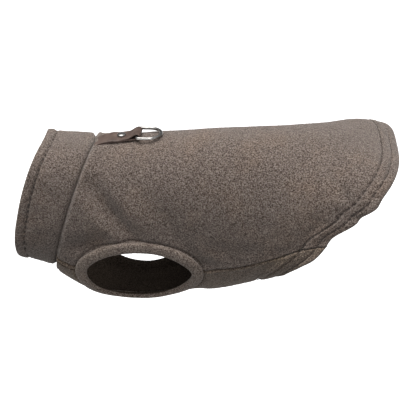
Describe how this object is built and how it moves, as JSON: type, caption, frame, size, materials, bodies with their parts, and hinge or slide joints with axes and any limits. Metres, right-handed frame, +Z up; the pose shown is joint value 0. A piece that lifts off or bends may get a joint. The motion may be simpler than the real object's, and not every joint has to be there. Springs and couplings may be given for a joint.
{
  "type": "dog winter coat",
  "caption": "Hollow fleece dog vest with a stand collar, two bound armholes, a long rounded back, a shorter belly panel and a strap with a swinging D-ring.",
  "frame": {"origin": "inner face of the back, on its middle line, over the front half of the armholes, where the wearer's back holds the vest up", "axes": "+X from the head to the tail, +Z up, so that the garment's left is towards -Y"},
  "size_m": [0.3512, 0.1574, 0.1736],
  "materials": {
    "fleece": "matte napped",
    "leather": "satin",
    "nickel": "polished"
  },
  "bodies": {
    "vest": {"collar_hem": "fleece", "collar": "fleece", "back_panel": "fleece", "belly_panel": "fleece", "rear_hem": "fleece", "belly_hem": "fleece", "armhole_binding_left": "fleece", "armhole_binding_right": "fleece", "leash_strap": "leather", "strap_rivet": "nickel"},
    "ring": {"d_ring": "nickel"}
  },
  "joints": [
    {"name": "ring_swing", "type": "hinge", "parent": "vest", "child": "ring", "pos_m": [0.00019, 0, 0.00565], "axis": [0, -1, 0], "range_deg": [0, 160]}
  ]
}
